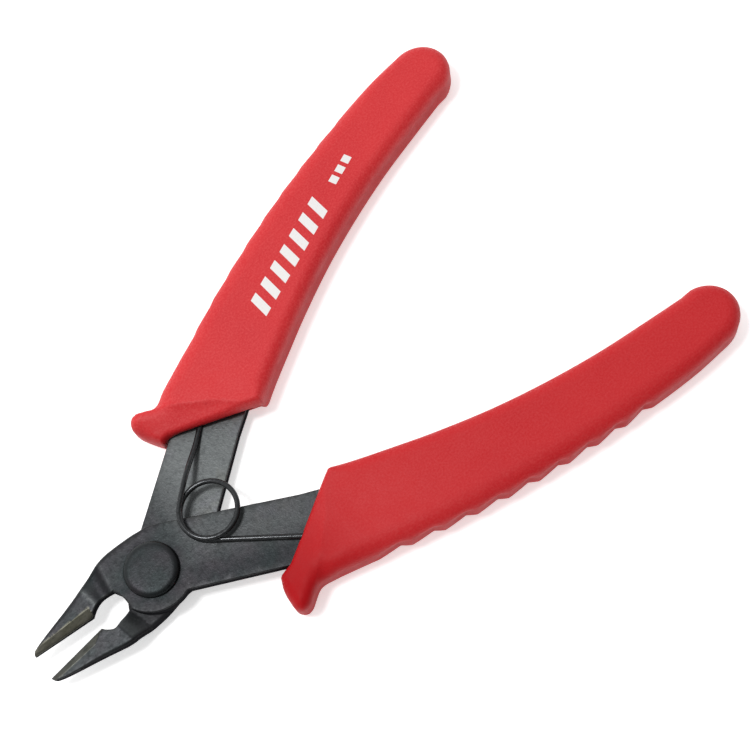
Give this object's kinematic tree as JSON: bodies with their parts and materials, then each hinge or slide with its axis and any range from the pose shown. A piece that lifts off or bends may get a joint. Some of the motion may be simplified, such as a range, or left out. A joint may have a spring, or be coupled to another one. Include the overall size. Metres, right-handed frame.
{
  "type": "flush cutter",
  "caption": "Spring-open flush cutter: crossed plate-steel arms on a flat-headed rivet, short bevelled jaws, a torsion spring and curved moulded grips.",
  "frame": {"origin": "on the pivot axis, at the flat rear face of the rivet", "axes": "+X along the tool from the jaws to the handles, +Y towards the back arm's handle, +Z along the pivot towards the front"},
  "size_m": [0.1278, 0.082, 0.0078],
  "materials": {
    "black_oxide_steel": "black oxide, satin",
    "spring_wire": "black oxide spring wire, semi-gloss",
    "red_grip": "satin moulded PVC with a fine grain"
  },
  "bodies": {
    "back_half": {"back_blade_arm": "black_oxide_steel", "pivot_rivet": "black_oxide_steel", "torsion_spring": "spring_wire", "back_grip": "red_grip"},
    "front_half": {"front_blade_arm": "black_oxide_steel", "front_grip": "red_grip"}
  },
  "joints": [
    {"name": "jaw_pivot", "type": "hinge", "parent": "back_half", "child": "front_half", "pos_m": [0, 0, 0], "axis": [0, 0, 1], "range_deg": [-4, 11], "stiffness_Nm_per_rad": 0.6, "deforming": ["torsion_spring"]}
  ]
}
